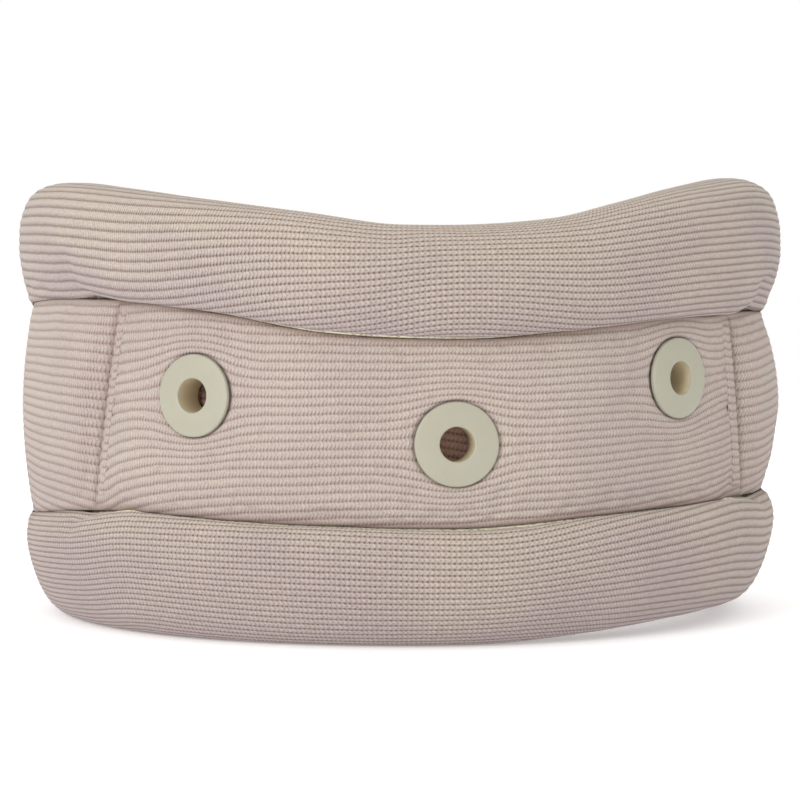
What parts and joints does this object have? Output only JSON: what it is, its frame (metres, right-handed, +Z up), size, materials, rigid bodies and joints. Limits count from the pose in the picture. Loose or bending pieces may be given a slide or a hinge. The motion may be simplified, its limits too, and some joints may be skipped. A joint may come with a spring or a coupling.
{
  "type": "cervical collar",
  "caption": "Soft foam cervical collar in ribbed knit, with fat upper and lower rolls, a stiffened front panel with vent eyelets, and a hook-and-loop strap at the back.",
  "frame": {"origin": "centre of the collar's ring, on the plane its lower roll stands on", "axes": "+Z up through the neck opening; the front, with the chin dip and the eyelets, faces -Y; +X is to the right for someone looking at the front"},
  "size_m": [0.1648, 0.1645, 0.092],
  "materials": {
    "knit": "ribbed matte cotton stockinette",
    "foam": "open-cell polyurethane foam",
    "eyelet": "satin moulded plastic",
    "plate": "satin polyethylene sheet",
    "webbing": "woven tape with hook and loop pile"
  },
  "bodies": {
    "front": {"front_foam_core": "foam", "front_knit_sleeve": "knit", "stiffener_plate": "plate", "panel_foam_pad": "foam", "panel_knit_cover": "knit", "panel_hem_left": "knit", "panel_hem_right": "knit", "eyelet_left": "eyelet", "eyelet_centre": "eyelet", "eyelet_right": "eyelet", "eyelet_washer_left": "eyelet", "eyelet_washer_centre": "eyelet", "eyelet_washer_right": "eyelet"},
    "left_wing": {"left_foam_core": "foam", "left_knit_sleeve": "knit", "left_end_cover": "knit", "loop_patch": "webbing"},
    "right_wing": {"right_foam_core": "foam", "right_knit_sleeve": "knit", "right_end_cover": "knit", "strap_anchor": "webbing"},
    "strap": {"strap_webbing": "webbing", "hook_tape": "webbing", "strap_pull_tab": "webbing"}
  },
  "joints": [
    {"name": "left_wing_flex", "type": "hinge", "parent": "front", "child": "left_wing", "pos_m": [-0.0655, -0.05118, 0.044], "axis": [0, 0, 1], "range_deg": [0, 40], "stiffness_Nm_per_rad": 0.06},
    {"name": "right_wing_flex", "type": "hinge", "parent": "front", "child": "right_wing", "pos_m": [0.0655, -0.05118, 0.044], "axis": [0, 0, -1], "range_deg": [0, 45], "stiffness_Nm_per_rad": 0.06},
    {"name": "strap_peel", "type": "hinge", "parent": "right_wing", "child": "strap", "pos_m": [0.04005, 0.06937, 0.0416], "axis": [0, 0, -1], "range_deg": [0, 120]}
  ],
  "couplings": [
    {"joint": "strap_peel", "follows": "left_wing_flex", "ratio": 3}
  ]
}
